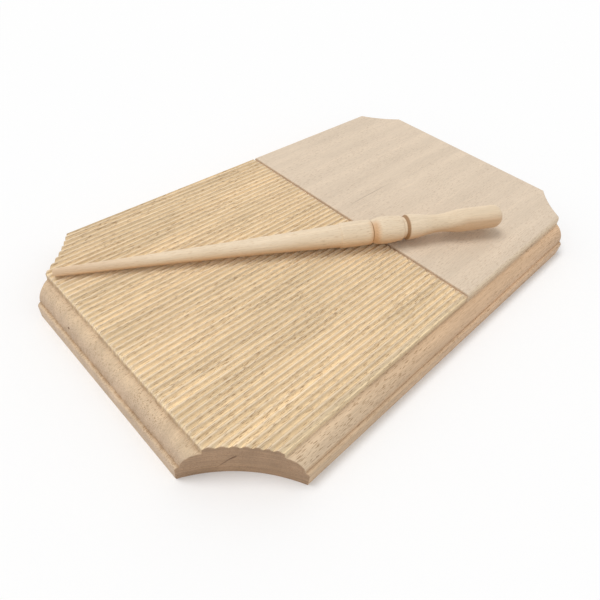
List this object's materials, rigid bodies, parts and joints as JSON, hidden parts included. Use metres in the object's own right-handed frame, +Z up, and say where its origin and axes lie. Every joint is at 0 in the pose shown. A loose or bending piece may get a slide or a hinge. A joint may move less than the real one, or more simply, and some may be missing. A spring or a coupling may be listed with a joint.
{
  "type": "gnocchi board with rolling stick",
  "caption": "Beech gnocchi board, half ribbed and half plain, with a moulded edge and scooped corners, and its turned rolling stick lying across it.",
  "frame": {"origin": "centre of the board's underside, where it stands on the worktop", "axes": "+X along the length from the ribbed end to the plain end, +Y across the width to the back long edge, +Z up out of the working face"},
  "size_m": [0.269, 0.1656, 0.033],
  "materials": {
    "board_beech": "planed, moulded and ribbed beech, sanded and left bare",
    "stick_beech": "turned pale beech, sanded and left bare"
  },
  "bodies": {
    "board": {"ribbed_board": "board_beech"},
    "stick": {"rolling_stick": "stick_beech"}
  },
  "joints": [
    {"name": "stick_lift", "type": "slide", "parent": "board", "child": "stick", "axis": [0, 0, 1], "range_m": [0, 0.15]}
  ]
}
